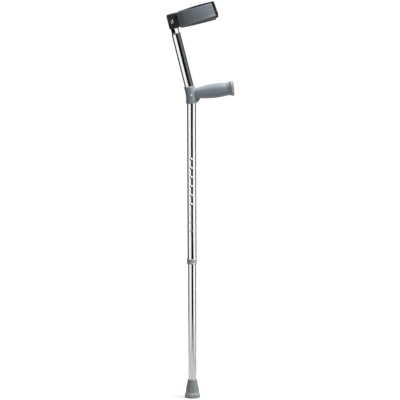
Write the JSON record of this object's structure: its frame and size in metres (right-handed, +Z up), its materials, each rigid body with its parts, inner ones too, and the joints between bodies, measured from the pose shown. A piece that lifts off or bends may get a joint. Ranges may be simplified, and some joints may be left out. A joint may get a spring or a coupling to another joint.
{
  "type": "forearm crutch",
  "caption": "Height-adjustable forearm crutch with a telescoping leg, snap-button locks, moulded hand grip, tilting open cuff and rubber ferrule.",
  "frame": {"origin": "centre of the ferrule's sole, where the crutch meets the floor", "axes": "+Z up the leg, +X toward the hand grip, +Y across; the forearm tube leans toward -X"},
  "size_m": [0.1858, 0.1014, 1.0959],
  "materials": {
    "tube_aluminium": "polished, clear anodised",
    "grip_plastic": "moulded, fine grain",
    "cuff_plastic": "moulded, satin",
    "dark_plastic": "moulded, satin",
    "collar_plastic": "moulded, satin",
    "ferrule_rubber": "grey moulded rubber",
    "steel": "bright zinc-plated",
    "spring_steel": "tempered strip"
  },
  "bodies": {
    "frame": {"main_tube": "tube_aluminium", "leg_collar": "collar_plastic", "forearm_end_ring": "dark_plastic", "handle": "grip_plastic", "handle_end_cap": "dark_plastic", "handle_rivet": "steel"},
    "lower_leg": {"lower_leg_tube": "tube_aluminium", "leg_top_plug": "dark_plastic", "leg_button_spring": "spring_steel", "ferrule": "ferrule_rubber", "ferrule_washer": "steel"},
    "front_button": {"leg_button_front": "steel"},
    "back_button": {"leg_button_back": "steel"},
    "cuff_stem": {"cuff_tube": "tube_aluminium", "cuff_tube_plug": "dark_plastic", "cuff_tube_cap": "dark_plastic", "cuff_button_spring": "spring_steel"},
    "stem_button": {"cuff_button": "steel"},
    "cuff": {"cuff_yoke": "dark_plastic", "cuff_band": "cuff_plastic", "cuff_pivot_rivet": "steel", "cuff_screws": "steel"}
  },
  "joints": [
    {"name": "leg_slide", "type": "slide", "parent": "frame", "child": "lower_leg", "axis": [0, 0, 1], "range_m": [0, 0.2]},
    {"name": "front_button_press", "type": "slide", "parent": "lower_leg", "child": "front_button", "axis": [0, -1, 0], "range_m": [0, 0.004], "stiffness_N_per_m": 1500, "springref_m": 0.008, "deforming": ["leg_button_spring"]},
    {"name": "back_button_press", "type": "slide", "parent": "lower_leg", "child": "back_button", "axis": [0, 1, 0], "range_m": [0, 0.004], "stiffness_N_per_m": 1500, "springref_m": 0.008, "deforming": ["leg_button_spring"]},
    {"name": "cuff_slide", "type": "slide", "parent": "frame", "child": "cuff_stem", "axis": [-0.2419, 0, 0.9703], "range_m": [0, 0.075]},
    {"name": "stem_button_press", "type": "slide", "parent": "cuff_stem", "child": "stem_button", "axis": [-0.9703, 0, -0.2419], "range_m": [0, 0.004], "stiffness_N_per_m": 1500, "springref_m": 0.008, "deforming": ["cuff_button_spring"]},
    {"name": "cuff_pivot", "type": "hinge", "parent": "cuff_stem", "child": "cuff", "pos_m": [-0.05044, 0, 1.04281], "axis": [0, -1, 0], "range_deg": [-8, 20]}
  ]
}
